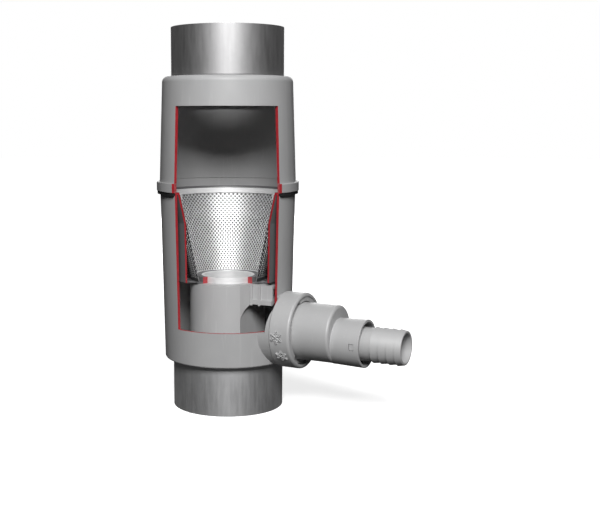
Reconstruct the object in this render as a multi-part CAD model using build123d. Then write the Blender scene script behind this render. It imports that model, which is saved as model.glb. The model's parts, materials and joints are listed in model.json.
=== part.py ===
from build123d import *
import math
import os

os.makedirs("parts", exist_ok=True)

# Rainwater downpipe filter, built as a cutaway sample. Millimetres, +Z up.
# The origin is the centre of the lower downpipe's bottom end.
# +Z runs up the downpipes and +X along the outlet.

# Downpipes
pipe_radius = 50.0
pipe_wall = 0.8
lower_pipe_length = 44.4
upper_pipe_length = 65.0
pipe_end_gap = 0.4
drawn_end_step = 0.6
drawn_end_run = 0.6

# Lower housing
housing_wall = 2.5
lower_ledge_width = 7.45
lower_shell_top_radius = 60.6
lower_shell_height = 148.9
joint_lip_step = 0.6
joint_lip_wall = 1.2
joint_lip_height = 10.2
joint_lip_round = 0.4
shell_bottom_round = 1.6
chamber_corner_round = 2.0
floor_thickness = 3.2
pipe_spigot_depth = 24.8
pipe_spigot_wall = 2.4
pipe_spigot_clearance = 0.4
pipe_spigot_round = 0.8
frame_seat_rise = 1.0
foot_socket_wall = 2.2
foot_socket_height = 5.0

# Upper housing
collar_step = 2.7
shoulder_width = 8.0
upper_housing_height = 92.3
shoulder_round = 5.0
pipe_sleeve_clearance = 1.0
pipe_sleeve_length = 15.5
pipe_below_sleeve = 7.0
collar_wall = 3.4
collar_clearance = 0.4
collar_overlap = 8.0
collar_edge_round = 0.5
stop_clearance = 0.3

# Window cut through housings and insert
window_azimuth = -61.3
window_half_angle = 48.0
window_sill_height = 31.2
window_head_drop = 26.0
window_boss_clearance = 2.0

# Seals
seal_gap = 0.3
seal_round = 0.4
joint_seal_width = 3.2
joint_seal_height = 1.9
upper_seal_height = 3.4
upper_seal_width = 2.4
upper_seal_depth_below_top = 4.8
spigot_seal_fit = 0.1
spigot_seal_depth = 1.2
spigot_seal_height = 3.2
spigot_seal_below = 8.0
o_ring_height = 2.0

# Filter frame, the insert that holds the screen
frame_wall = 1.8
frame_rim_height = 1.8
frame_rim_clearance = 0.1
funnel_top_gap = 1.1
funnel_height = 25.9
skirt_top_gap = 7.37
skirt_bottom_gap = 7.06
frame_floor_thickness = 1.2
frame_floor_drop = 2.6
frame_edge_round = 0.4
hub_outer_radius = 29.4
hub_height = 5.8
drain_slot_count = 12
drain_slot_margin = 1.5
drain_slot_length = 13.0

# Perforated screen
screen_thickness = 0.8
screen_fit = 0.15
screen_hole_size = 4.4
screen_hole_rows = 10
screen_holes_per_turn = 16
screen_top_margin = 5.4
screen_bottom_margin = 4.8
clamp_ring_height = 4.8
clamp_ring_thickness = 1.0
clamp_ring_round = 0.3

# Standpipe with its overflow hood
standpipe_radius = 34.7
standpipe_wall = 2.5
standpipe_flat = 25.6
standpipe_foot_height = 6.4
standpipe_foot_clearance = 0.4
neck_radius = 24.0
neck_wall = 2.0
neck_height = 5.5
neck_clearance = 0.3
hood_half_width = 12.0
hood_corner = 30.7
hood_shell_gap = 2.0
hood_wall = 2.0
hood_arch_clearance = 2.5
hood_passage_height = 9.5
hood_rib_width = 2.0
hood_rib_height = 2.0
hood_rib_spacing = 7.8
hood_rib_count = 2

# Outlet
outlet_rise = 30.0
outlet_bore_radius = 22.5
boss_radius = 33.0
boss_stand = 1.0
boss_depth = 15.0
outlet_spigot_radius = 27.2
outlet_spigot_length = 11.4
bayonet_count = 3
stud_height = 2.4
stud_length = 3.0
stud_offset = 4.6
stud_angle = 38.0
stud_phase = 60.0

# Union ring
ring_outer_radius = 33.6
ring_inner_radius = 30.3
ring_length = 19.0
ring_gap = 0.4
ring_edge_round = 2.2
ring_rear_lip_length = 3.2
ring_rear_lip_angle = 46.0
ring_front_lip_length = 2.4
ring_front_lip_recess = 1.0
ring_front_lip_gap = 1.0
ring_front_lip_angle = 63.0
ring_front_lip_phase = 75.5
ring_inner_round = 0.6

# Outlet adapter, an eccentric reducer
gasket_thickness = 1.2
gasket_width = 4.0
adapter_flange_radius = 29.7
adapter_flange_thickness = 2.8
adapter_flange_round = 0.4
barrel_radius = 25.3
barrel_wall = 2.5
barrel_length = 39.3
barrel_end_round = 2.4
barrel_end_wall = 2.6
throat_ledge = 0.8
socket_drop = 5.6
socket_root_radius = 20.2
socket_mouth_radius = 20.9
socket_length = 26.0
socket_bore_radius = 18.9
snap_window_length = 4.6
snap_window_height = 5.8
snap_window_from_mouth = 8.8

# Hose tail
tail_length = 56.3
tail_bore_radius = 12.4
tail_root_radius = 14.4
tail_barb_radius = 15.6
tail_mouth_radius = 14.6
tail_barb_count = 4
tail_barb_pitch = 7.2
tail_mouth_lead = 5.6
tail_mouth_round = 0.7
tail_flange_thickness = 6.0
tail_flange_clearance = 0.2
tail_flange_round = 0.4
tail_root_round = 0.8
snap_arm_root = 6.2
snap_arm_width = 4.8
snap_arm_thickness = 1.4
snap_nose_height = 1.3
snap_clearance = 0.4

# Levels and distances that follow from the sizes above
housing_bottom = lower_pipe_length + pipe_end_gap
lower_shell_top = housing_bottom + lower_shell_height
floor_top = housing_bottom + floor_thickness
lip_top = lower_shell_top + joint_lip_height
collar_bottom = lip_top + stop_clearance - collar_overlap
collar_top = lip_top + stop_clearance
housing_top = collar_top + upper_housing_height
upper_pipe_bottom = housing_top - pipe_sleeve_length - pipe_below_sleeve
upper_pipe_top = upper_pipe_bottom + upper_pipe_length
window_bottom = housing_bottom + window_sill_height
window_top = housing_top - window_head_drop
frame_seat = lower_shell_top + frame_seat_rise
frame_top = frame_seat + frame_rim_height
funnel_bottom = frame_seat - funnel_height
spigot_radius = pipe_radius - pipe_wall - pipe_spigot_clearance
joint_lip_radius = lower_shell_top_radius - joint_lip_step
lip_inner_radius = joint_lip_radius - joint_lip_wall
collar_inner_radius = joint_lip_radius + collar_clearance
collar_outer_radius = collar_inner_radius + collar_wall
lower_shell_bottom_radius = pipe_radius + lower_ledge_width
upper_shell_bottom_radius = collar_outer_radius - collar_step
upper_shell_top_radius = pipe_radius + shoulder_width
hub_inner_radius = neck_radius + neck_clearance
outlet_height = housing_bottom + outlet_rise
socket_height = outlet_height - socket_drop
hood_arch_radius = outlet_bore_radius + hood_arch_clearance
hood_passage_bottom = outlet_height + hood_arch_radius + hood_wall
standpipe_top = hood_passage_bottom + hood_passage_height + standpipe_wall
skirt_bottom = standpipe_top + frame_floor_drop


def shell_radius(height):
    """Outer radius of the lower shell at a level."""
    share = (height - housing_bottom) / lower_shell_height
    return lower_shell_bottom_radius + share * (lower_shell_top_radius - lower_shell_bottom_radius)


funnel_top_radius = lower_shell_top_radius - housing_wall - funnel_top_gap
funnel_bottom_radius = shell_radius(funnel_bottom) - housing_wall - skirt_top_gap
skirt_bottom_radius = shell_radius(skirt_bottom) - housing_wall - skirt_bottom_gap
boss_face = shell_radius(outlet_height) + boss_stand
outlet_spigot_end = boss_face + outlet_spigot_length
adapter_start = outlet_spigot_end + gasket_thickness
barrel_end = adapter_start + barrel_length
socket_end = barrel_end + socket_length
snap_window_start = socket_end - snap_window_from_mouth
tail_start = snap_window_start - snap_arm_root - tail_flange_thickness
tail_end = tail_start + tail_length


def turned(*corners):
    """Solid of revolution about Z from (radius, height, rounding) corners."""
    points = [(c[0], 0, c[1]) for c in corners]
    rounding = [c[2] if len(c) > 2 else 0 for c in corners]
    outline = FilletPolyline(*points, radius=rounding, close=True)
    return revolve(make_face(outline), Axis.Z)


def turned_on_outlet(*corners, height=outlet_height):
    """Solid of revolution about the outlet's axis from (radius, x, rounding) corners."""
    upright = turned(*corners)
    return Pos(0, 0, height) * Rot(0, 90, 0) * upright


def drum(radius, low, high):
    """Upright cylinder between two levels."""
    return Pos(0, 0, low) * extrude(Circle(radius), high - low)


def tube(outer, inner, low, high):
    """Upright tube between two levels."""
    return Pos(0, 0, low) * extrude(Circle(outer) - Circle(inner), high - low)


def outlet_drum(radius, start, end, height=outlet_height):
    """Cylinder along the outlet's direction between two distances from the pipe's axis."""
    return Pos(start, 0, height) * Rot(0, 90, 0) * extrude(Circle(radius), end - start)


def sector_face(radius, middle, half_angle):
    """Flat sector about the origin, bounded by two radii and an arc."""
    ends = [math.radians(middle - half_angle), math.radians(middle + half_angle)]
    centre_angle = math.radians(middle)
    first = (radius * math.cos(ends[0]), radius * math.sin(ends[0]))
    top = (radius * math.cos(centre_angle), radius * math.sin(centre_angle))
    last = (radius * math.cos(ends[1]), radius * math.sin(ends[1]))
    rim = ThreePointArc(first, top, last)
    return make_face([Line((0, 0), first), rim, Line(last, (0, 0))])


def sector_block(radius, low, high, middle=window_azimuth, half_angle=window_half_angle):
    """Upright wedge about the pipe's axis between two levels."""
    return Pos(0, 0, low) * extrude(sector_face(radius, middle, half_angle), high - low)


def ring_sector(outer, inner, start, end, middle, half_angle):
    """Piece of a ring about the outlet's axis. Angles run from +Y towards +Z."""
    face = sector_face(outer, middle, half_angle) - Circle(inner)
    placed = Pos(start, 0, outlet_height) * Rot(0, 0, 90) * Rot(90, 0, 0) * extrude(face, end - start)
    return placed


def make_lower_downpipe():
    return tube(pipe_radius, pipe_radius - pipe_wall, 0, lower_pipe_length)


def make_upper_downpipe():
    drawn = pipe_radius - drawn_end_step
    drawn_top = housing_top + drawn_end_run
    return turned(
        (drawn - pipe_wall, upper_pipe_bottom),
        (drawn, upper_pipe_bottom),
        (drawn, drawn_top - drawn_end_step),
        (pipe_radius, drawn_top),
        (pipe_radius, upper_pipe_top),
        (pipe_radius - pipe_wall, upper_pipe_top),
        (pipe_radius - pipe_wall, drawn_top),
        (drawn - pipe_wall, drawn_top - drawn_end_step),
    )


def make_upper_housing():
    sleeve = pipe_radius + pipe_sleeve_clearance
    groove_top = housing_top - upper_seal_depth_below_top
    groove_bottom = groove_top - upper_seal_height
    groove_radius = pipe_radius + seal_gap + upper_seal_width
    inner_top = upper_shell_top_radius - housing_wall
    body = turned(
        (collar_inner_radius, collar_bottom),
        (collar_outer_radius, collar_bottom, collar_edge_round),
        (collar_outer_radius, collar_top, collar_edge_round),
        (upper_shell_bottom_radius, collar_top),
        (upper_shell_top_radius, housing_top, shoulder_round),
        (sleeve, housing_top, collar_edge_round),
        (sleeve, groove_top),
        (groove_radius, groove_top),
        (groove_radius, groove_bottom),
        (sleeve, groove_bottom),
        (sleeve, housing_top - pipe_sleeve_length, collar_edge_round),
        (inner_top, housing_top - pipe_sleeve_length - housing_wall, collar_edge_round),
        (upper_shell_bottom_radius - housing_wall, collar_top),
        (collar_inner_radius, collar_top),
    )
    return body - sector_block(2 * pipe_radius, 0, window_top)


def make_joint_seal():
    ring = tube(joint_lip_radius + joint_seal_width, joint_lip_radius,
                lower_shell_top, lower_shell_top + joint_seal_height)
    return ring - sector_block(2 * pipe_radius, 0, window_top)


def make_upper_lip_seal():
    groove_top = housing_top - upper_seal_depth_below_top
    inner = pipe_radius + seal_gap
    return tube(inner + upper_seal_width, inner, groove_top - upper_seal_height, groove_top)


def make_spigot_seal():
    outer = pipe_radius - pipe_wall - spigot_seal_fit
    inner = spigot_radius - spigot_seal_depth
    top = housing_bottom - spigot_seal_below
    bottom = top - spigot_seal_height
    return turned(
        (inner, bottom),
        (outer, bottom, seal_round),
        (outer, top, seal_round),
        (inner, top),
    )


def bayonet_angles(phase):
    """Angles of the pieces of one bayonet ring."""
    return [phase + turn * 360.0 / bayonet_count for turn in range(bayonet_count)]


def make_lower_housing():
    inner_bottom = lower_shell_bottom_radius - housing_wall
    inner_top = lower_shell_top_radius - housing_wall
    seal_inner = spigot_radius - spigot_seal_depth
    seal_top = housing_bottom - spigot_seal_below
    shell = turned(
        (spigot_radius, housing_bottom),
        (lower_shell_bottom_radius, housing_bottom, shell_bottom_round),
        (lower_shell_top_radius, lower_shell_top),
        (joint_lip_radius, lower_shell_top),
        (joint_lip_radius, lip_top, joint_lip_round),
        (lip_inner_radius, lip_top),
        (lip_inner_radius, frame_seat),
        (inner_top, frame_seat),
        (inner_bottom, floor_top, chamber_corner_round),
        (standpipe_radius - standpipe_wall, floor_top),
        (standpipe_radius - standpipe_wall, housing_bottom),
        (spigot_radius - pipe_spigot_wall, housing_bottom),
        (spigot_radius - pipe_spigot_wall, housing_bottom - pipe_spigot_depth),
        (spigot_radius, housing_bottom - pipe_spigot_depth, pipe_spigot_round),
        (spigot_radius, seal_top - spigot_seal_height),
        (seal_inner, seal_top - spigot_seal_height),
        (seal_inner, seal_top),
        (spigot_radius, seal_top),
    )
    socket_inner = standpipe_radius + standpipe_foot_clearance
    shell += tube(socket_inner + foot_socket_wall, socket_inner, floor_top, floor_top + foot_socket_height)
    interior = turned(
        (0, housing_bottom),
        (inner_bottom, housing_bottom),
        (inner_top, frame_seat),
        (0, frame_seat),
    )
    boss = outlet_drum(boss_radius, boss_face - boss_depth, boss_face)
    boss += outlet_drum(outlet_spigot_radius, boss_face - housing_wall, outlet_spigot_end)
    for angle in bayonet_angles(stud_phase):
        boss += ring_sector(outlet_spigot_radius + stud_height, outlet_bore_radius,
                            boss_face + stud_offset, boss_face + stud_offset + stud_length,
                            angle, stud_angle / 2)
    room = 2 * boss_radius
    below = Pos(boss_face, 0, housing_bottom - room / 2) * Box(room, 2 * room, room)
    boss -= below & outlet_drum(room, 0, boss_face)
    shell += boss - interior
    shell -= outlet_drum(outlet_bore_radius, boss_face - boss_depth, outlet_spigot_end)
    reach = shell_radius(window_top) + window_boss_clearance
    shell -= sector_block(reach, window_bottom, window_top)
    return shell


def slot_angles():
    """Directions spread evenly over the arc that the window leaves, from one cut to the other."""
    pitch = (360.0 - 2 * window_half_angle) / drain_slot_count
    first = window_azimuth + window_half_angle
    return [first + place * pitch for place in range(drain_slot_count + 1)]


def frame_inner(height):
    """Inner radius of the frame's funnel at a level."""
    share = (height - funnel_bottom) / funnel_height
    return funnel_bottom_radius - frame_wall + share * (funnel_top_radius - funnel_bottom_radius)


def make_filter_frame():
    rim_radius = lip_inner_radius - frame_rim_clearance
    hub_bottom = standpipe_top
    body = turned(
        (frame_inner(frame_top), frame_top, frame_edge_round),
        (rim_radius, frame_top, frame_edge_round),
        (rim_radius, frame_seat),
        (funnel_top_radius, frame_seat),
        (funnel_bottom_radius, funnel_bottom),
        (skirt_bottom_radius, skirt_bottom, frame_edge_round),
        (hub_outer_radius, hub_bottom),
        (hub_inner_radius, hub_bottom),
        (hub_inner_radius, hub_bottom + hub_height, frame_edge_round),
        (hub_outer_radius, hub_bottom + hub_height, frame_edge_round),
        (hub_outer_radius, hub_bottom + frame_floor_thickness),
        (skirt_bottom_radius - frame_wall, skirt_bottom + frame_floor_thickness),
        (funnel_bottom_radius - frame_wall, funnel_bottom),
    )
    slot_inner = screen_outer(skirt_bottom) + drain_slot_margin
    slot_outer = skirt_bottom_radius - frame_wall - drain_slot_margin
    slot = SlotOverall(drain_slot_length, slot_outer - slot_inner, rotation=90)
    slot_height = frame_floor_drop + 2 * frame_floor_thickness
    cutter = Pos((slot_inner + slot_outer) / 2, 0, hub_bottom) * extrude(slot, slot_height)
    for angle in slot_angles():
        body -= Rot(0, 0, angle) * cutter
    return body - sector_block(2 * pipe_radius, 0, window_top)


def screen_outer(height):
    """Outer radius of the conical screen at a level."""
    return frame_inner(height) - screen_fit


def screen_foot():
    """Level of the screen's lower edge, just above the frame's sloping floor."""
    skirt_inner = skirt_bottom_radius - frame_wall
    slope = frame_floor_drop / (skirt_inner - hub_outer_radius)
    fall = slope * (skirt_inner - screen_outer(skirt_bottom))
    return skirt_bottom + frame_floor_thickness - fall + screen_fit


def screen_hole_rings():
    """Levels of the rows of holes."""
    low = screen_foot() + screen_bottom_margin + screen_hole_size / 2
    high = frame_seat - screen_top_margin - screen_hole_size / 2
    step = (high - low) / (screen_hole_rows - 1)
    return [low + row * step for row in range(screen_hole_rows)]


def in_window(angle, margin):
    """True where a direction lies in the window or within the margin beside it."""
    offset = (angle - window_azimuth + 180.0) % 360.0 - 180.0
    return abs(offset) < window_half_angle + margin


def make_filter_screen():
    top = frame_seat
    foot = screen_foot()
    sheet = turned(
        (screen_outer(foot) - screen_thickness, foot),
        (screen_outer(foot), foot),
        (screen_outer(top), top),
        (screen_outer(top) - screen_thickness, top),
    )
    step = 360.0 / screen_holes_per_turn
    punches = []
    for row, height in enumerate(screen_hole_rings()):
        for place in range(screen_holes_per_turn):
            angle = window_azimuth + 180.0 + (place + 0.5 * (row % 2)) * step
            if in_window(angle, step / 4):
                continue
            radius = screen_outer(height)
            punch = Rot(45, 0, 0) * Box(6 * screen_thickness, screen_hole_size, screen_hole_size)
            punches.append(Pos(0, 0, height) * Rot(0, 0, angle) * Pos(radius, 0, 0) * punch)
    sheet -= punches
    return sheet - sector_block(2 * pipe_radius, 0, window_top)


def make_screen_clamp_ring():
    top = frame_seat
    bottom = top - clamp_ring_height
    inset = screen_thickness + screen_fit
    ring = turned(
        (screen_outer(bottom) - inset - clamp_ring_thickness, bottom, clamp_ring_round),
        (screen_outer(bottom) - inset, bottom),
        (screen_outer(top) - inset, top),
        (screen_outer(top) - inset - clamp_ring_thickness, top, clamp_ring_round),
    )
    return ring - sector_block(2 * pipe_radius, 0, window_top)


def hood_outline(inset, reach):
    """Plan of the overflow hood, which widens from the standpipe's flat side."""
    half_flat = math.sqrt(standpipe_radius ** 2 - standpipe_flat ** 2) - inset
    half = hood_half_width - inset
    start = standpipe_flat - standpipe_wall
    corners = [
        (start, -half_flat), (standpipe_flat, -half_flat), (hood_corner, -half),
        (reach, -half), (reach, half), (hood_corner, half),
        (standpipe_flat, half_flat), (start, half_flat),
    ]
    return make_face(Polyline(*corners, close=True))


def make_standpipe():
    inner = standpipe_radius - standpipe_wall
    room = 4 * standpipe_radius
    flat_room = Pos(standpipe_flat + room / 2, 0) * Rectangle(room, room)
    flat_inner_room = Pos(standpipe_flat - standpipe_wall + room / 2, 0) * Rectangle(room, room)
    foot_top = floor_top + standpipe_foot_height
    plan = Circle(standpipe_radius) - flat_room
    plan_inner = Circle(inner) - flat_inner_room
    top_under = standpipe_top - standpipe_wall
    body = drum(standpipe_radius, floor_top, foot_top)
    body += Pos(0, 0, foot_top) * extrude(plan, standpipe_top - foot_top)
    shell_inside = shell_radius(outlet_height) - housing_wall
    hood_outside = hood_half_width + hood_rib_height
    hood_end = math.sqrt(shell_inside ** 2 - hood_outside ** 2) - hood_shell_gap
    hood = Pos(0, 0, outlet_height) * extrude(hood_outline(0, hood_end), standpipe_top - outlet_height)
    for rib in range(hood_rib_count):
        rib_x = hood_corner + hood_rib_width / 2 + rib * hood_rib_spacing
        rib_box = Box(hood_rib_width, 2 * hood_outside, standpipe_top - outlet_height)
        hood += Pos(rib_x, 0, (standpipe_top + outlet_height) / 2) * rib_box
    ledge_level = outlet_height + math.sqrt(hood_arch_radius ** 2 - hood_half_width ** 2)
    ledge_box = Box(hood_end - hood_corner, 2 * hood_outside, 2 * hood_rib_height)
    hood += Pos((hood_end + hood_corner) / 2, 0, ledge_level + hood_rib_height) * ledge_box
    hood -= outlet_drum(hood_arch_radius, standpipe_flat, hood_end + hood_wall)
    hood -= Pos(0, 0, outlet_height) * extrude(plan_inner, standpipe_top - outlet_height)
    body += hood
    passage = Box(hood_end, 2 * (hood_half_width - hood_wall), hood_passage_height)
    lower_room = drum(inner, floor_top, foot_top - standpipe_wall)
    upper_room = Pos(0, 0, floor_top) * extrude(plan_inner, top_under - floor_top)
    body -= lower_room
    body -= upper_room
    body -= Pos(hood_end / 2 + hood_wall, 0, hood_passage_bottom + hood_passage_height / 2) * passage
    body += tube(neck_radius, neck_radius - neck_wall, top_under, standpipe_top + neck_height)
    body -= drum(neck_radius - neck_wall, top_under - 1, standpipe_top + neck_height)
    groove_low = floor_top + o_ring_height
    groove_wall = standpipe_wall / 2
    body -= tube(standpipe_radius + 1, standpipe_radius - groove_wall, groove_low, groove_low + o_ring_height)
    return body


def make_standpipe_o_ring():
    groove_low = floor_top + o_ring_height
    inner = standpipe_radius - standpipe_wall / 2
    return tube(standpipe_radius + standpipe_foot_clearance, inner, groove_low, groove_low + o_ring_height)


def make_outlet_union_ring():
    start = boss_face + ring_gap
    end = start + ring_length
    ring = turned_on_outlet(
        (ring_inner_radius, start),
        (ring_outer_radius, start, ring_inner_round),
        (ring_outer_radius, end, ring_edge_round),
        (ring_inner_radius, end, ring_inner_round),
    )
    for angle in bayonet_angles(stud_phase):
        ring += ring_sector(ring_inner_radius + 1, outlet_spigot_radius + ring_gap,
                            start, start + ring_rear_lip_length, angle, ring_rear_lip_angle / 2)
    lip_end = end - ring_front_lip_recess
    lip_start = lip_end - ring_front_lip_length
    for angle in bayonet_angles(ring_front_lip_phase):
        ring += ring_sector(ring_inner_radius + 1, barrel_radius + ring_front_lip_gap,
                            lip_start, lip_end, angle, ring_front_lip_angle / 2)
    return ring


def make_outlet_gasket():
    ring = Circle(outlet_bore_radius + gasket_width) - Circle(outlet_bore_radius)
    return Pos(outlet_spigot_end, 0, outlet_height) * Rot(0, 90, 0) * extrude(ring, gasket_thickness)


def make_outlet_adapter():
    body = turned_on_outlet(
        (0, adapter_start),
        (adapter_flange_radius, adapter_start, adapter_flange_round),
        (adapter_flange_radius, adapter_start + adapter_flange_thickness, adapter_flange_round),
        (barrel_radius, adapter_start + adapter_flange_thickness),
        (barrel_radius, barrel_end, barrel_end_round),
        (0, barrel_end),
    )
    body += turned_on_outlet(
        (0, barrel_end - barrel_end_wall),
        (socket_root_radius, barrel_end - barrel_end_wall),
        (socket_root_radius, barrel_end),
        (socket_mouth_radius, socket_end, adapter_flange_round),
        (0, socket_end),
        height=socket_height,
    )
    body -= outlet_drum(barrel_radius - barrel_wall, adapter_start - 1, barrel_end - barrel_end_wall)
    body -= outlet_drum(socket_bore_radius, barrel_end, socket_end + 1, socket_height)
    throat = barrel_radius - barrel_wall - socket_drop - throat_ledge
    body -= outlet_drum(throat, barrel_end - barrel_end_wall - 1, barrel_end + 1, socket_height)
    window = Box(snap_window_length, 3 * socket_mouth_radius, snap_window_height)
    body -= Pos(snap_window_start + snap_window_length / 2, 0, socket_height) * window
    return body


def make_hose_tail():
    flange_end = tail_start + tail_flange_thickness
    flange_radius = socket_bore_radius - tail_flange_clearance
    groove_start = tail_start + (tail_flange_thickness - o_ring_height) / 2
    groove_radius = flange_radius - o_ring_height + tail_flange_clearance
    corners = [
        (tail_bore_radius, tail_start, tail_flange_round),
        (flange_radius, tail_start, tail_flange_round),
        (flange_radius, groove_start),
        (groove_radius, groove_start),
        (groove_radius, groove_start + o_ring_height),
        (flange_radius, groove_start + o_ring_height),
        (flange_radius, flange_end, tail_flange_round),
        (tail_root_radius, flange_end, tail_root_round),
    ]
    first_barb = tail_end - tail_mouth_lead - (tail_barb_count - 1) * tail_barb_pitch
    for barb in range(tail_barb_count):
        crest = first_barb + barb * tail_barb_pitch
        corners.append((tail_root_radius, crest))
        corners.append((tail_barb_radius, crest))
    corners += [
        (tail_mouth_radius, tail_end, tail_mouth_round),
        (tail_bore_radius, tail_end, tail_mouth_round),
    ]
    body = turned_on_outlet(*corners, height=socket_height)
    nose_length = snap_window_length - 2 * snap_clearance
    nose_middle = snap_window_start + snap_window_length / 2
    arm_start = flange_end - tail_flange_round
    arm_end = nose_middle + nose_length / 2
    socket_room = outlet_drum(flange_radius, arm_start, arm_end, socket_height)
    for side in (-1, 1):
        arm = Box(arm_end - arm_start, 2 * snap_arm_thickness, snap_arm_width)
        arm_y = side * (flange_radius - snap_arm_thickness)
        body += socket_room & (Pos((arm_start + arm_end) / 2, arm_y, socket_height) * arm)
        nose = Box(nose_length, 2 * snap_nose_height, snap_arm_width)
        body += Pos(nose_middle, side * flange_radius, socket_height) * nose
    return body


def make_hose_tail_o_ring():
    groove_start = tail_start + (tail_flange_thickness - o_ring_height) / 2
    groove_radius = socket_bore_radius - o_ring_height
    ring = Circle(socket_bore_radius) - Circle(groove_radius)
    return Pos(groove_start, 0, socket_height) * Rot(0, 90, 0) * extrude(ring, o_ring_height)


pieces = {
    "upper_downpipe": make_upper_downpipe,
    "lower_downpipe": make_lower_downpipe,
    "upper_housing": make_upper_housing,
    "lower_housing": make_lower_housing,
    "joint_seal": make_joint_seal,
    "upper_lip_seal": make_upper_lip_seal,
    "spigot_seal": make_spigot_seal,
    "filter_frame": make_filter_frame,
    "filter_screen": make_filter_screen,
    "screen_clamp_ring": make_screen_clamp_ring,
    "standpipe": make_standpipe,
    "standpipe_o_ring": make_standpipe_o_ring,
    "outlet_union_ring": make_outlet_union_ring,
    "outlet_gasket": make_outlet_gasket,
    "outlet_adapter": make_outlet_adapter,
    "hose_tail": make_hose_tail,
    "hose_tail_o_ring": make_hose_tail_o_ring,
}

for name, make in pieces.items():
    export_step(make(), f"parts/{name}.step")
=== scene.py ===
import bpy
import json
import math
import numpy as np
from mathutils import Euler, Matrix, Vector


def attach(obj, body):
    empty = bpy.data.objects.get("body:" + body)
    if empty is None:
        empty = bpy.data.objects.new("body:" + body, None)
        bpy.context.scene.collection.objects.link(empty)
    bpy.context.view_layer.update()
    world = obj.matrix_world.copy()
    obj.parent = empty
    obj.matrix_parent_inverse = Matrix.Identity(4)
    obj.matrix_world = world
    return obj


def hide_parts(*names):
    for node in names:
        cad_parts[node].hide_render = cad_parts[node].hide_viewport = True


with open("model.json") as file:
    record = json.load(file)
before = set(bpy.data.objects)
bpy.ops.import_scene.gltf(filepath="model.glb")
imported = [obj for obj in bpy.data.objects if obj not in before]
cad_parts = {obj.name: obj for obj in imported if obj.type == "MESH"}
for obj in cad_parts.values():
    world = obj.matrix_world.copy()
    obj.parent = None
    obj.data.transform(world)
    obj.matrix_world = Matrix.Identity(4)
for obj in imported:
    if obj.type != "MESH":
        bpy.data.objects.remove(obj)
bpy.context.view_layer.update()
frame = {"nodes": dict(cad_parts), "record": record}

# Sizes below are in metres and angles in degrees

# Window cut through housings and insert, and how near, flat and far out a face counts as its cut
window_azimuth = -61.3
window_half_angle = 48.0
window_sill = 0.076
window_head = 0.2705
cut_reach = 0.0004
cut_flatness = 0.97
cut_start_radius = 0.02

# Outer face of the lower housing's shell, and the boss that carries the outlet
shell_slope = 0.02116
shell_radius_at_zero = 0.0565
boss_top = 0.1095

# Outlet's axis and its union ring
outlet_height = 0.0748
union_ring_radius = 0.0336

# Insert's drain floor, and the funnel that the cone's sheet lies in
drain_floor_top = 0.119
drain_floor_inner = 0.0296
drain_floor_outer = 0.0475
funnel_foot = 0.1688
funnel_foot_radius = 0.0484

# Perforated cone
cone_foot = 0.1160
cone_top = 0.1946
cone_slope = 0.2625
cone_fit = 0.00015
cone_foot_radius = funnel_foot_radius - cone_fit - cone_slope * (funnel_foot - cone_foot)
cone_sheet = 0.0006

# Neck of the standpipe
neck_outer_radius = 0.0240
neck_inner_radius = 0.0220
neck_foot = 0.1138
neck_top = 0.1193

# Numbers of the Mix node's sockets for colours
mix_first = 6
mix_second = 7
mix_result = 2


def grey(level, blue=0.0):
    """Grey of one level, with a little more blue where wanted."""
    return (level, level, level + blue)


def own_socket(shader, name, value):
    """Sets one of the shader's own sockets."""
    shader.inputs[name].default_value = value


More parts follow.
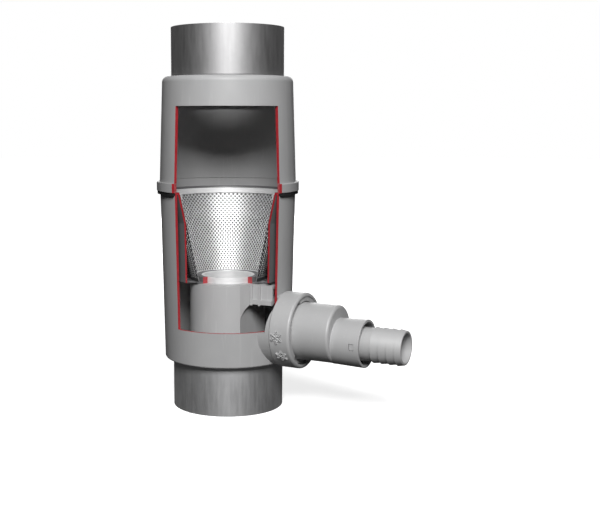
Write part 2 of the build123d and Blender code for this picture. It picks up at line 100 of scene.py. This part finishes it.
class Finish:
    """One procedural material, with short ways to add its nodes."""

    def __init__(self, name, roughness, metallic=0.0, specular=0.5):
        self.material = bpy.data.materials.new(name)
        self.material.use_nodes = True
        self.tree = self.material.node_tree
        self.shader = self.tree.nodes["Principled BSDF"]
        own_socket(self.shader, "Roughness", roughness)
        own_socket(self.shader, "Metallic", metallic)
        own_socket(self.shader, "Specular IOR Level", specular)
        self.place = self.tree.nodes.new("ShaderNodeTexCoord")

    def node(self, kind, **settings):
        """New node with its settings."""
        made = self.tree.nodes.new(kind)
        for key, value in settings.items():
            setattr(made, key, value)
        return made

    def feed(self, target, value):
        """Links another node's socket, or sets a plain number, vector or colour."""
        if hasattr(value, "is_linked"):
            self.tree.links.new(value, target)
        elif target.type == "RGBA":
            target.default_value = (*value, 1.0)
        else:
            target.default_value = value

    def number(self, operation, first, second=0.0):
        """Result of a sum on one or two numbers."""
        made = self.node("ShaderNodeMath", operation=operation)
        self.feed(made.inputs[0], first)
        self.feed(made.inputs[1], second)
        return made.outputs[0]

    def product(self, first, *factors):
        """All factors multiplied."""
        for factor in factors:
            first = self.number("MULTIPLY", first, factor)
        return first

    def vector(self, operation, first, second=(0.0, 0.0, 0.0)):
        """Result of a sum on vectors: a number for a dot product or a length, else a vector."""
        made = self.node("ShaderNodeVectorMath", operation=operation)
        self.feed(made.inputs[0], first)
        self.feed(made.inputs[1], second)
        return made.outputs["Value" if operation in ("DOT_PRODUCT", "LENGTH") else "Vector"]

    def stretched(self, scale):
        """Object coordinates stretched by three factors."""
        return self.vector("MULTIPLY", self.place.outputs["Object"], scale)

    def axis_distance(self):
        """Distance of the point from the downpipe's axis."""
        return self.vector("LENGTH", self.stretched((1.0, 1.0, 0.0)))

    def height(self):
        """Height of the point above the lower pipe's end."""
        return self.vector("DOT_PRODUCT", self.place.outputs["Object"], (0.0, 0.0, 1.0))

    def noise(self, scale, detail=3.0, stretch=(1.0, 1.0, 1.0), rough=0.5):
        """Noise on stretched Object coordinates."""
        made = self.node("ShaderNodeTexNoise")
        self.feed(made.inputs["Vector"], self.stretched(stretch))
        self.feed(made.inputs["Scale"], scale)
        self.feed(made.inputs["Detail"], detail)
        self.feed(made.inputs["Roughness"], rough)
        return made.outputs["Fac"]

    def spread(self, value, low=0.0, high=1.0, from_low=0.3, from_high=0.7):
        """Maps a value from one range onto another, clamped."""
        made = self.node("ShaderNodeMapRange")
        self.feed(made.inputs["Value"], value)
        self.feed(made.inputs["From Min"], from_low)
        self.feed(made.inputs["From Max"], from_high)
        self.feed(made.inputs["To Min"], low)
        self.feed(made.inputs["To Max"], high)
        return made.outputs[0]

    def mixed(self, share, first, second):
        """Colour between two colours."""
        made = self.node("ShaderNodeMix", data_type="RGBA")
        self.feed(made.inputs[0], share)
        self.feed(made.inputs[mix_first], first)
        self.feed(made.inputs[mix_second], second)
        return made.outputs[mix_result]

    def bump(self, height, distance, strength, below=None):
        """Relief from a height, over the relief below it."""
        made = self.node("ShaderNodeBump")
        self.feed(made.inputs["Distance"], distance)
        self.feed(made.inputs["Strength"], strength)
        self.feed(made.inputs["Height"], height)
        if below is not None:
            self.feed(made.inputs["Normal"], below)
        return made.outputs["Normal"]

    def complete(self, colour, gloss, relief):
        """Gives the shader its colour, roughness and relief, and hands over the material."""
        self.feed(self.shader.inputs["Base Color"], colour)
        self.feed(self.shader.inputs["Roughness"], gloss)
        self.feed(self.shader.inputs["Normal"], relief)
        return self.material


def near(finish, value, target):
    """One where a value lies within a cut's reach of a target, else zero."""
    off = finish.number("ABSOLUTE", finish.number("SUBTRACT", value, target))
    return finish.number("LESS_THAN", off, cut_reach)


def off_drain_floor(finish):
    """Zero on the insert's drain floor between hub and skirt, one everywhere else."""
    radius = finish.axis_distance()
    low = finish.number("LESS_THAN", finish.height(), drain_floor_top)
    wide = finish.number("GREATER_THAN", radius, drain_floor_inner)
    narrow = finish.number("LESS_THAN", radius, drain_floor_outer)
    return finish.number("SUBTRACT", 1.0, finish.product(low, wide, narrow))


def off_outlet_boss(finish):
    """Zero on the part of a cut that runs out past the lower shell into the outlet's boss, else one."""
    height = finish.height()
    reach = finish.number("SUBTRACT", finish.axis_distance(), finish.product(height, shell_slope))
    beyond = finish.number("GREATER_THAN", reach, shell_radius_at_zero + 0.5 * cut_reach)
    low = finish.number("LESS_THAN", height, boss_top)
    return finish.number("SUBTRACT", 1.0, finish.product(low, beyond))


def cut_faces(finish, plain_floor):
    """One on the faces that the window's two radial cuts, sill and head leave, else zero."""
    place = finish.place.outputs["Object"]
    facing = finish.place.outputs["Normal"]
    total = 0.0
    for side in (-1, 1):
        angle = math.radians(window_azimuth + side * window_half_angle)
        across = (-math.sin(angle), math.cos(angle), 0.0)
        along = (math.cos(angle), math.sin(angle), 0.0)
        on_plane = near(finish, finish.vector("DOT_PRODUCT", place, across), 0.0)
        outward = finish.number("GREATER_THAN", finish.vector("DOT_PRODUCT", place, along), cut_start_radius)
        turned = finish.number("ABSOLUTE", finish.vector("DOT_PRODUCT", facing, across))
        flat = finish.number("GREATER_THAN", turned, cut_flatness)
        total = finish.number("ADD", total, finish.product(on_plane, outward, flat))
    upward = finish.number("ABSOLUTE", finish.vector("DOT_PRODUCT", facing, (0.0, 0.0, 1.0)))
    level = finish.number("GREATER_THAN", upward, cut_flatness)
    for edge in (window_sill, window_head):
        total = finish.number("ADD", total, finish.product(near(finish, finish.height(), edge), level))
    total = finish.product(finish.number("MINIMUM", total, 1.0), off_outlet_boss(finish))
    if plain_floor:
        total = finish.product(total, off_drain_floor(finish))
    return total


def moulded_plastic(name, pale, dark, roughness, cut=False, plain_floor=False):
    """Injection-moulded grey plastic: faint flow clouds, fine spark-eroded grain and small scuffs. With
    cut set, the faces that the window leaves are painted red, and with plain_floor set too, the
    insert's drain floor stays plain."""
    finish = Finish(name, roughness, specular=1.0)
    clouds = finish.spread(finish.noise(14.0, detail=4.0))
    flow = finish.spread(finish.noise(60.0, stretch=(1.0, 1.0, 0.35)))
    tone = finish.number("ADD", finish.product(clouds, 0.6), finish.product(flow, 0.4))
    body = finish.mixed(tone, dark, pale)
    scratches = finish.noise(420.0, detail=2.0, stretch=(1.0, 1.0, 0.08))
    scuffs = finish.spread(scratches, from_low=0.62, from_high=0.74)
    rubbed = tuple(min(1.0, 1.25 * channel) for channel in pale)
    body = finish.mixed(finish.product(scuffs, 0.25), body, rubbed)
    gloss = finish.spread(finish.noise(90.0, detail=4.0), roughness - 0.05, roughness + 0.07)
    grain = finish.bump(finish.noise(2600.0, detail=2.0), distance=0.00003, strength=0.5)
    relief = finish.bump(finish.noise(40.0, detail=2.0), distance=0.0002, strength=0.25, below=grain)
    if cut:
        mask = cut_faces(finish, plain_floor)
        paint = finish.mixed(finish.spread(finish.noise(300.0)), (0.32, 0.008, 0.015), (0.44, 0.013, 0.022))
        body = finish.mixed(mask, body, paint)
        gloss = finish.number("SUBTRACT", gloss, finish.product(mask, 0.08))
    return finish.complete(body, gloss, relief)


def zinc_sheet(name):
    """Rolled zinc: long upright rolling lines, small crystals and a soft patina, satin metal. Its colour is
    blended
    by height: the lower pipe is painted far paler than the upper one, painted light and shade for how the
    lamps light the two pipes."""
    finish = Finish(name, roughness=0.60, metallic=1.0)
    rolling = finish.noise(55.0, detail=4.0, stretch=(12.0, 12.0, 0.25), rough=0.6)
    lines = finish.spread(rolling)
    # Painted light and shade: below the housing the pipe is painted far paler than above it, blended by
    # height
    painted_lit_tone = finish.mixed(lines, (0.88, 0.885, 0.895), (0.92, 0.92, 0.925))
    upper_pipe_tone = finish.mixed(lines, (0.475, 0.47, 0.474), (0.503, 0.50, 0.502))
    painted_light_by_height = finish.spread(finish.height(), from_low=0.05, from_high=0.28)
    body = finish.mixed(painted_light_by_height, painted_lit_tone, upper_pipe_tone)
    patina = finish.spread(finish.noise(16.0, detail=5.0))
    body = finish.mixed(finish.product(patina, 0.35), body, (0.435, 0.432, 0.44))
    crystals = finish.node("ShaderNodeTexVoronoi", feature="F1")
    finish.feed(crystals.inputs["Vector"], finish.place.outputs["Object"])
    finish.feed(crystals.inputs["Scale"], 260.0)
    speck = finish.node("ShaderNodeSeparateColor")
    finish.feed(speck.inputs[0], crystals.outputs["Color"])
    body = finish.mixed(finish.product(speck.outputs[0], 0.10), body, (0.60, 0.605, 0.61))
    gloss = finish.spread(finish.noise(120.0, detail=4.0, stretch=(3.0, 3.0, 0.3)), 0.51, 0.59)
    relief = finish.bump(rolling, distance=0.00002, strength=0.05)
    return finish.complete(body, gloss, relief)


def cone_outside(finish):
    """One on the outer side of the cone's sheet, zero on its inner side."""
    rise = finish.product(finish.height(), cone_slope)
    beyond = finish.number("SUBTRACT", finish.axis_distance(), rise)
    middle = cone_foot_radius - cone_slope * cone_foot - 0.5 * cone_sheet
    return finish.number("GREATER_THAN", beyond, middle)


def bright_steel(name, pale, dark, roughness, metal=1.0, shaded_outside=False):
    """Stainless sheet: fine rolling grain round the cone, faint water marks, bright metal. The shaded kind
    has the cone's outer side painted a dark grey: painted shade for the shade between the cone and the
    insert's skirt."""
    finish = Finish(name, roughness, metallic=metal)
    grain = finish.noise(900.0, detail=2.0, stretch=(0.15, 0.15, 1.0))
    marks = finish.spread(finish.noise(70.0, detail=4.0), from_low=0.45, from_high=0.75)
    body = finish.mixed(finish.spread(grain), dark, pale)
    body = finish.mixed(finish.product(marks, 0.25), body, dark)
    if shaded_outside:
        # Painted shade: the cone's outer side is painted dark grey, standing in for the shade between cone
        # and skirt
        painted_shade = finish.mixed(marks, grey(0.15, 0.002), grey(0.11, 0.002))
        body = finish.mixed(cone_outside(finish), body, painted_shade)
    gloss = finish.spread(grain, roughness - 0.05, roughness + 0.08)
    relief = finish.bump(grain, distance=0.00002, strength=0.3)
    return finish.complete(body, gloss, relief)


def seal_rubber(name):
    """Black sealing rubber with a dusty bloom and fine moulding grain."""
    finish = Finish(name, roughness=0.6, specular=0.4)
    bloom = finish.spread(finish.noise(80.0, detail=4.0), from_low=0.4, from_high=0.75)
    body = finish.mixed(bloom, grey(0.012, 0.001), grey(0.030, 0.002))
    gloss = finish.spread(finish.noise(200.0), 0.5, 0.7)
    relief = finish.bump(finish.noise(1800.0, detail=2.0), distance=0.00004, strength=0.4)
    return finish.complete(body, gloss, relief)


finishes = {
    "downpipe_metal": zinc_sheet("zinc_sheet"),
    "housing_plastic": moulded_plastic("housing_grey", grey(0.40), grey(0.36, 0.004), 0.58, cut=True),
    "frame_plastic": moulded_plastic("insert_grey", grey(0.135, 0.003), grey(0.105, 0.003), 0.50,
                                     cut=True, plain_floor=True),
    "standpipe_plastic": moulded_plastic("standpipe_grey", grey(0.46), grey(0.42, 0.004), 0.56),
    "outlet_plastic": moulded_plastic("outlet_grey", grey(0.45), grey(0.41, 0.004), 0.52),
    "seal_rubber": seal_rubber("seal_rubber"),
    "screen_steel": bright_steel("screen_steel", grey(0.90), grey(0.80, 0.005), 0.56, shaded_outside=True),
    "ring_steel": bright_steel("band_steel", grey(0.88), grey(0.80, 0.005), 0.60, metal=0.5),
}

for part in frame["record"]["subparts"]:
    mesh = frame["nodes"][part["node"]].data
    mesh.materials.clear()
    mesh.materials.append(finishes[part["material_slot"]])


def full_turn(count):
    """Angles of evenly spaced points on a full turn."""
    return 2.0 * math.pi * np.arange(count) / count


def mesh_object(name, points, faces, material):
    """Object at the origin with a mesh of an array of points and a list of faces."""
    mesh = bpy.data.meshes.new(name)
    mesh.from_pydata(points.tolist(), [], faces)
    mesh.update()
    mesh.materials.append(material)
    made = bpy.data.objects.new(name, mesh)
    bpy.context.scene.collection.objects.link(made)
    return made


def added_piece(name, points, faces, body, slot_name):
    """Piece of the filter that the scene adds and that rides on a body."""
    piece = mesh_object(name, points, faces, finishes[slot_name])
    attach(piece, body)
    return piece


def perforated_cone():
    """Sheet on a cone, radius = foot radius + slope times height above the foot, over the arc that
    the window leaves. Points (i, j) of an even grid alternate: where i + j is odd they are the corners
    of diamond cells, and round each inner point with i + j even stands a ring of eight points, the
    centre plus (hole_across times cos, hole_up times sin) of every 45 degrees in steps of the grid,
    which is the hole's edge. The half cells on the grid's border have no hole, and a plain band
    without holes follows below the grid and above it."""
    grid_foot = 0.1180
    grid_top = 0.1902
    columns = 122
    rows = 38
    hole_across = 0.60
    hole_up = 0.54
    window_gap = 0.25
    start = math.radians(window_azimuth + window_half_angle + window_gap)
    sweep = math.radians(360.0 - 2.0 * (window_half_angle + window_gap))
    step = (grid_top - grid_foot) / rows

    def on_cone(column, level):
        angle = start + sweep * column / columns
        radius = cone_foot_radius + cone_slope * (level - cone_foot)
        return np.stack([radius * np.cos(angle), radius * np.sin(angle), level], axis=-1)

    i, j = np.meshgrid(np.arange(columns + 1), np.arange(rows + 1), indexing="ij")
    grid = on_cone(i, grid_foot + step * j)
    number = np.arange(i.size).reshape(i.shape)
    even = (i + j) % 2 == 0
    inner = (i > 0) & (i < columns) & (j > 0) & (j < rows)

    # Rings of the holes round the inner even points, and the half cells' centres on the border
    hole_i = i[even & inner]
    hole_j = j[even & inner]
    turn = full_turn(8)
    ring_column = hole_i[:, None] + hole_across * np.cos(turn)
    ring_level = grid_foot + step * (hole_j[:, None] + hole_up * np.sin(turn))
    ring = on_cone(ring_column, ring_level).reshape(-1, 3)
    ring_start = number.size + turn.size * np.arange(hole_i.size)
    border_i = i[even & ~inner]
    border_j = j[even & ~inner]

    # Each quarter of a cell lies between two of its corners: right and up, up and left, and so on
    corner_i = np.array([1, 0, -1, 0, 1])
    corner_j = np.array([0, 1, 0, -1, 0])
    groups = []
    for quarter in range(4):
        first = number[hole_i + corner_i[quarter], hole_j + corner_j[quarter]]
        second = number[hole_i + corner_i[quarter + 1], hole_j + corner_j[quarter + 1]]
        edge = [ring_start + (2 * quarter + k) % turn.size for k in range(3)]
        groups.append(np.stack([first, edge[1], edge[0]], axis=1))
        groups.append(np.stack([first, second, edge[1]], axis=1))
        groups.append(np.stack([second, edge[2], edge[1]], axis=1))
        near_i = border_i[:, None] + corner_i[quarter:quarter + 2]
        near_j = border_j[:, None] + corner_j[quarter:quarter + 2]
        kept = ((near_i >= 0) & (near_i <= columns) & (near_j >= 0) & (near_j <= rows)).all(axis=1)
        centre = number[border_i[kept], border_j[kept]]
        groups.append(np.column_stack([centre, number[near_i[kept], near_j[kept]]]))

    # Plain bands below and above the holes
    column = np.arange(columns + 1)
    foot_line = on_cone(column, np.full(column.size, cone_foot))
    top_line = on_cone(column, np.full(column.size, cone_top))
    foot_number = number.size + len(ring) + column
    top_number = foot_number + column.size
    groups.append(np.stack([foot_number[:-1], foot_number[1:], number[1:, 0], number[:-1, 0]], axis=1))
    groups.append(np.stack([number[:-1, rows], number[1:, rows], top_number[1:], top_number[:-1]], axis=1))

    points = np.concatenate([grid.reshape(-1, 3), ring, foot_line, top_line])
    faces = [face for group in groups for face in group.tolist()]
    piece = added_piece("perforated_cone", points, faces, "standing_pipe", "screen_steel")
    sheet = piece.modifiers.new("sheet_thickness", "SOLIDIFY")
    sheet.thickness = cone_sheet
    sheet.offset = -1.0
    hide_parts("filter_screen")


def neck_sleeve():
    """Steel sleeve crimped over the standpipe's neck. A closed profile of (radius, level) corners is
    turned about the pipe's axis: the point at (k, m) is the profile's corner m at the angle 360
    degrees times k / 120. It stands proud of the neck's outside, inside and top, and its back is
    sunk just under them."""
    proud = 0.00014
    sunk = 0.00006
    top_proud = 0.0002
    top_sunk = 0.0001
    foot_gap = 0.00015
    inner_length = 0.0073
    edge_in = 0.00024
    edge_down = 0.00025
    edge_middle = 0.00008

    outer = neck_outer_radius + proud
    outer_back = neck_outer_radius - sunk
    outer_foot = neck_foot + foot_gap
    inner = neck_inner_radius - proud
    inner_back = neck_inner_radius + sunk
    inner_foot = neck_top - inner_length
    top = neck_top + top_proud
    top_back = neck_top - top_sunk
    profile = np.array([
        (outer, outer_foot), (outer, top - edge_down), (outer - edge_middle, top - edge_middle),
        (outer - edge_in, top), (inner + edge_in, top), (inner + edge_middle, top - edge_middle),
        (inner, top - edge_down), (inner, inner_foot), (inner_back, inner_foot),
        (inner_back, top_back), (outer_back, top_back), (outer_back, outer_foot)])

    turn = full_turn(120)
    radius, level = profile.T
    points = np.stack([np.outer(np.cos(turn), radius), np.outer(np.sin(turn), radius),
                       np.broadcast_to(level, (turn.size, level.size))], axis=-1).reshape(-1, 3)
    number = np.arange(turn.size * level.size).reshape(turn.size, level.size)
    after = np.roll(number, -1, axis=0)
    faces = np.stack([number, after, np.roll(after, -1, axis=1), np.roll(number, -1, axis=1)], axis=-1)
    added_piece("neck_sleeve", points, faces.reshape(-1, 4).tolist(), "standing_pipe", "ring_steel")


def snow_strokes(size):
    """Both ends of a snowflake's strokes on the flat: six arms of one length, 60 degrees apart, each
    with two pairs of branches that leave it at 50 degrees, at 0.42 and 0.70 of its length."""
    strokes = []
    for arm in range(6):
        turn = math.radians(60.0 * arm + 30.0)
        tip = size * np.array([math.cos(turn), math.sin(turn)])
        strokes.append((0.0 * tip, tip))
        for share, reach in ((0.42, 0.30), (0.70, 0.22)):
            for side in (-1, 1):
                lean = turn + side * math.radians(50.0)
                branch = reach * size * np.array([math.cos(lean), math.sin(lean)])
                strokes.append((share * tip, share * tip + branch))
    return strokes


def snow_sign(name, along, angle, size):
    """Raised snowflake on the union ring. Each stroke is a low ridge: a point moves along it by s and
    across it by t, and lands on the ring at a height above the ring's radius that is the lower one of
    a rounded roof over t and a ramp over s, which both end just under the surface."""
    lift = 0.0011
    half_width = 0.00042
    run_out = 0.0003
    across = half_width * np.linspace(-1.0, 1.0, 5)
    roof = lift * np.array([-0.4, 0.75, 1.0, 0.75, -0.4])
    ramp = lift * np.array([-0.4, 1.0, 1.0, 1.0, -0.4])
    height = np.minimum(roof[None, :], ramp[:, None])
    number = np.arange(height.size).reshape(height.shape)
    patch = np.stack([number[:-1, :-1], number[1:, :-1], number[1:, 1:], number[:-1, 1:]], axis=-1)
    points = []
    faces = []
    for stroke, (start, end) in enumerate(snow_strokes(size)):
        length = np.linalg.norm(end - start)
        way = (end - start) / length
        side = np.array([-way[1], way[0]])
        stations = np.array([-run_out, 0.0, 0.5 * length, length, length + run_out])
        s, t = np.meshgrid(stations, across, indexing="ij")
        flat = start + s[..., None] * way + t[..., None] * side
        radius = union_ring_radius + height
        turned = math.radians(angle) + flat[..., 1] / union_ring_radius
        ridge = np.stack([along + flat[..., 0], radius * np.cos(turned),
                          outlet_height + radius * np.sin(turned)], axis=-1)
        points.append(ridge.reshape(-1, 3))
        faces.append(patch.reshape(-1, 4) + stroke * height.size)
    added_piece(name, np.concatenate(points), np.concatenate(faces).tolist(), "union_ring", "outlet_plastic")


perforated_cone()
neck_sleeve()
snow_sign("snow_sign_upper", along=0.0665, angle=182.0, size=0.0060)
snow_sign("snow_sign_lower", along=0.0695, angle=212.5, size=0.0056)


def pale_floor():
    """Round pale floor under the pipe's end. Other surfaces see it as a dark grey, and away from the
    filter it glows up to plain white where the camera looks."""
    radius = 6.0
    depth = 0.0002
    finish = Finish("pale_floor", roughness=0.9, specular=0.1)
    camera_ray = finish.node("ShaderNodeLightPath").outputs["Is Camera Ray"]
    seen = finish.mixed(finish.spread(finish.noise(3.0)), grey(0.90), grey(0.94))
    finish.feed(finish.shader.inputs["Base Color"], finish.mixed(camera_ray, grey(0.04), seen))
    own_socket(finish.shader, "Emission Color", (1.0, 1.0, 1.0, 1.0))
    away = finish.vector("LENGTH", finish.place.outputs["Object"])
    glow = finish.spread(away, 0.62, 1.0, from_low=0.12, from_high=0.7)
    finish.feed(finish.shader.inputs["Emission Strength"], finish.product(camera_ray, glow))
    turn = full_turn(96)
    points = np.stack([radius * np.cos(turn), radius * np.sin(turn), np.full(turn.size, -depth)], axis=1)
    piece = mesh_object("pale_floor", points, [tuple(range(turn.size))], finish.material)


def white_backdrop():
    """World: white where the camera looks, a dark soft studio for every other ray."""
    studio_grey = 0.020
    glossy_share = 0.004
    world = bpy.data.worlds.new("studio")
    bpy.context.scene.world = world
    world.use_nodes = True
    tree = world.node_tree
    ground = tree.nodes["Background"]
    paths = tree.nodes.new("ShaderNodeLightPath")
    share = tree.nodes.new("ShaderNodeMath")
    share.operation = "MULTIPLY_ADD"
    tree.links.new(paths.outputs["Is Glossy Ray"], share.inputs[0])
    share.inputs[1].default_value = glossy_share
    tree.links.new(paths.outputs["Is Camera Ray"], share.inputs[2])
    colour = tree.nodes.new("ShaderNodeMix")
    colour.data_type = "RGBA"
    tree.links.new(share.outputs[0], colour.inputs[0])
    colour.inputs[mix_first].default_value = (*grey(studio_grey), 1.0)
    colour.inputs[mix_second].default_value = (*grey(1.0), 1.0)
    tree.links.new(colour.outputs[mix_result], ground.inputs["Color"])
    ground.inputs["Strength"].default_value = 1.0


def soft_lamp(name, azimuth, elevation, distance, size, power):
    """Square soft lamp that looks at the filter's middle. Azimuth 0 stands at the front, -Y, and 90
    at +X."""
    middle = Vector((0.0, 0.0, 0.17))
    turn = math.radians(azimuth)
    rise = math.radians(elevation)
    away = Vector((math.sin(turn) * math.cos(rise), -math.cos(turn) * math.cos(rise), math.sin(rise)))
    data = bpy.data.lights.new(name, "AREA")
    data.size = size
    data.energy = power
    lamp = bpy.data.objects.new(name, data)
    lamp.location = middle + away * distance
    lamp.rotation_mode = "QUATERNION"
    lamp.rotation_quaternion = (-away).to_track_quat("-Z", "Y")
    lamp.visible_camera = False
    bpy.context.scene.collection.objects.link(lamp)


def photo_camera():
    """Camera at the photograph's viewpoint, with the lens and shift that were fitted to its edges."""
    azimuth = 29.0
    downward = 8.11
    lens = bpy.data.cameras.new("camera")
    lens.sensor_width = 36.0
    lens.lens = 61.415
    lens.shift_x = 0.0941
    lens.shift_y = 0.0006
    lens.clip_start = 0.05
    lens.clip_end = 40.0
    camera = bpy.data.objects.new("camera", lens)
    camera.location = (0.4597, -0.8002, 0.2603)
    camera.rotation_euler = Euler((math.radians(90.0 - downward), 0.0, math.radians(azimuth)))
    bpy.context.scene.collection.objects.link(camera)
    bpy.context.scene.camera = camera


pale_floor()
white_backdrop()
soft_lamp("key_lamp", azimuth=31.0, elevation=34.0, distance=1.6, size=0.6, power=32.0)
soft_lamp("back_lamp", azimuth=209.0, elevation=15.0, distance=1.8, size=0.9, power=13.0)
soft_lamp("top_lamp", azimuth=29.0, elevation=85.0, distance=1.6, size=0.8, power=1.5)
photo_camera()
bpy.context.scene.view_settings.view_transform = "Standard"
